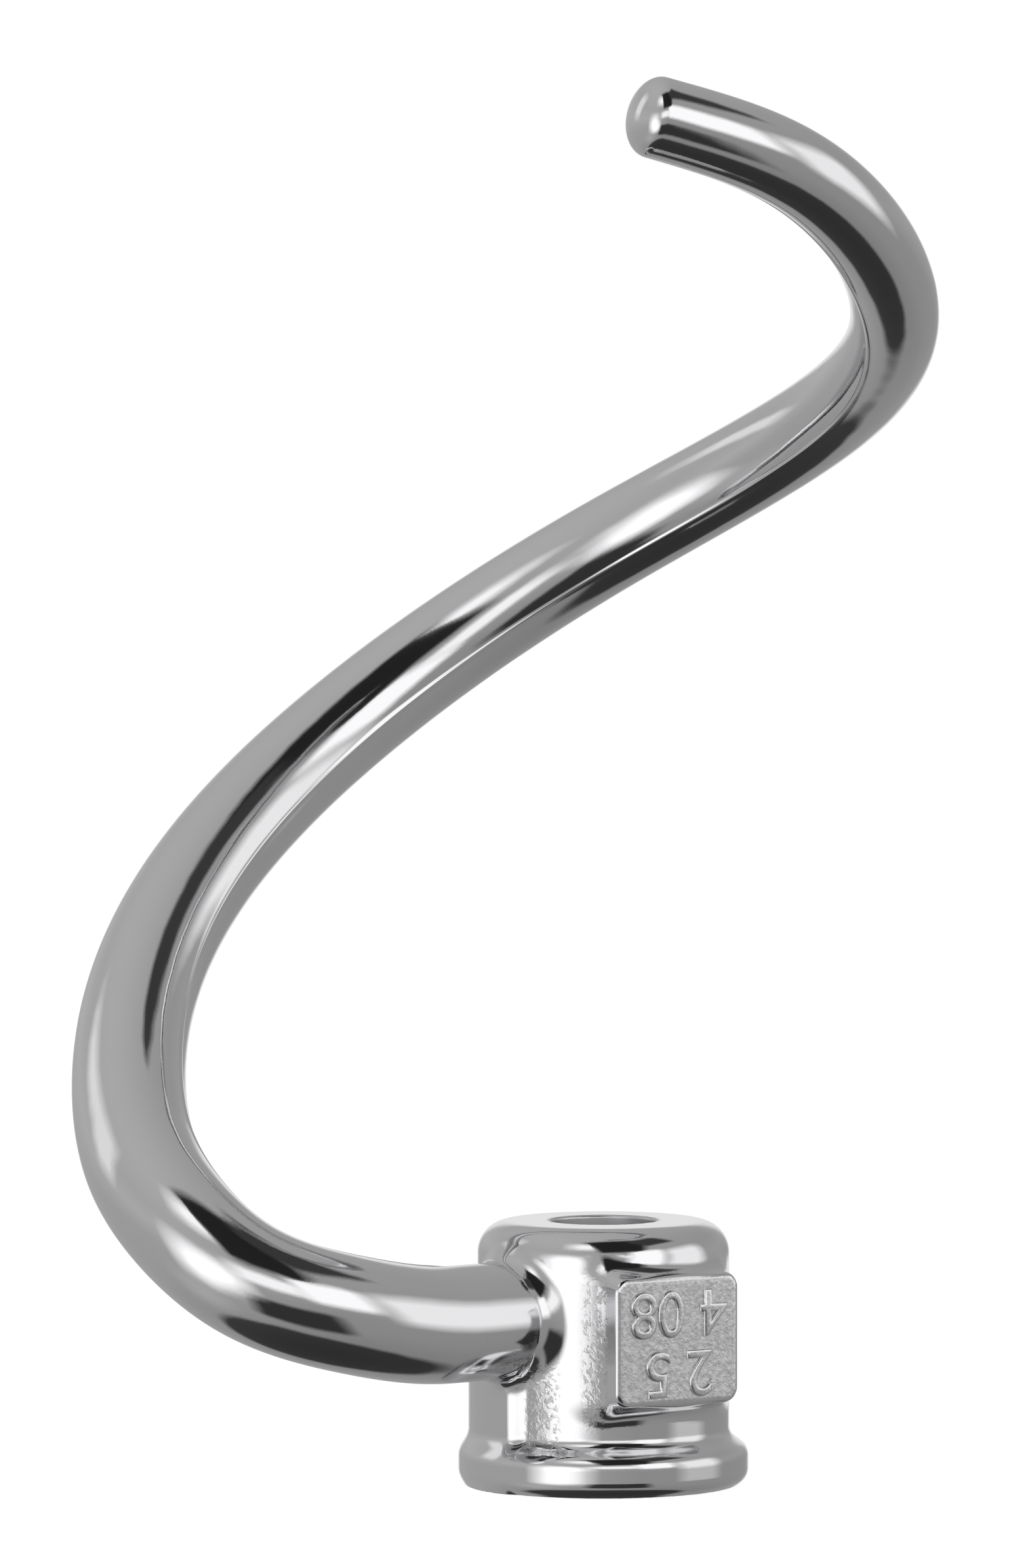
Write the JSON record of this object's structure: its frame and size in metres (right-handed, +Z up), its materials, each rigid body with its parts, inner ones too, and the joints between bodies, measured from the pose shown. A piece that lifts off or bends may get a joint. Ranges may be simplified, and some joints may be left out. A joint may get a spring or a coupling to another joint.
{
  "type": "spiral dough hook",
  "caption": "Spiral dough hook for a planetary mixer: a bored hub with a bayonet slot and foot flange carries a tapered round arm that winds up to a domed tip.",
  "frame": {"origin": "on the axis of the shaft bore, in the plane of the hub's lower face", "axes": "+Z up the bore from the foot flange towards the spiral's tip, +X to the right and +Y away from the viewer as pictured"},
  "size_m": [0.1057, 0.0842, 0.171],
  "materials": {
    "polished_steel": "mirror polished stainless steel with unpolished cast corners"
  },
  "bodies": {
    "root": {"hub": "polished_steel", "hook_arm": "polished_steel"}
  },
  "joints": []
}
